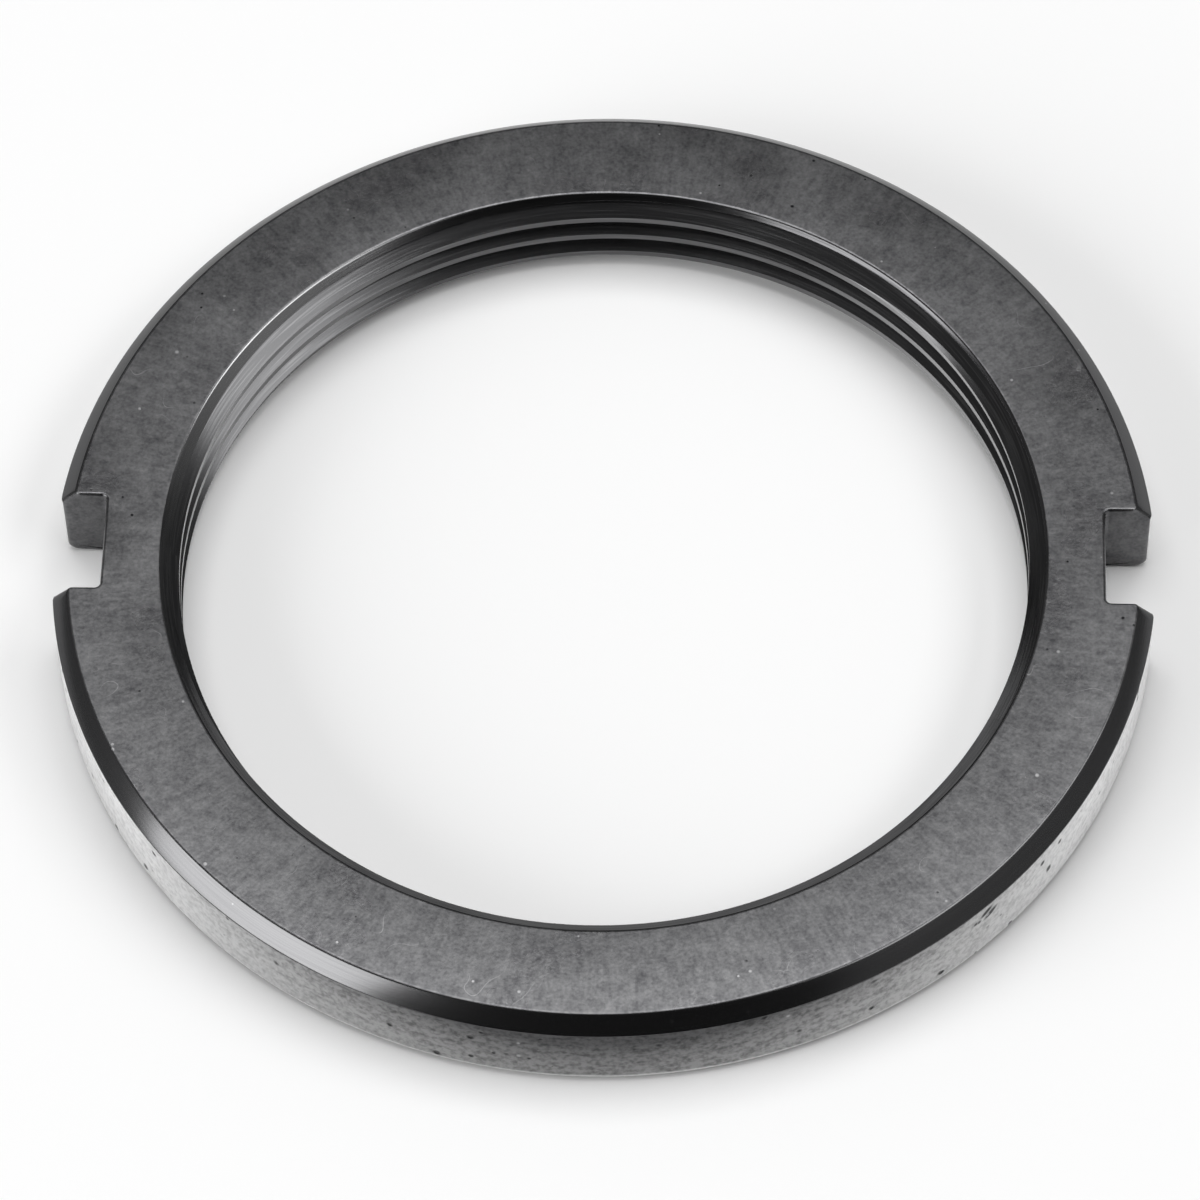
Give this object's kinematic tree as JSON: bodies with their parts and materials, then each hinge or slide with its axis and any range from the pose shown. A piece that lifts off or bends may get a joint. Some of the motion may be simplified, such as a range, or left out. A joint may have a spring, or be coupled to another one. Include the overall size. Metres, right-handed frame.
{
  "type": "lock ring",
  "caption": "Flat round steel lock ring with a fine left-hand thread through its countersunk bore, square spanner slots across its rim and a chamfered outer face.",
  "frame": {"origin": "on the thread's axis, in the plane of the flat face that bears on the sprocket", "axes": "+Z along the thread's axis towards the chamfered outer face, +X through the middle of a spanner slot"},
  "size_m": [0.0408, 0.041, 0.0038],
  "materials": {
    "dark_steel": "dark satin steel, finely blasted on the flat face, turned and polished on the chamfer"
  },
  "bodies": {
    "root": {"lock_ring": "dark_steel"}
  },
  "joints": []
}
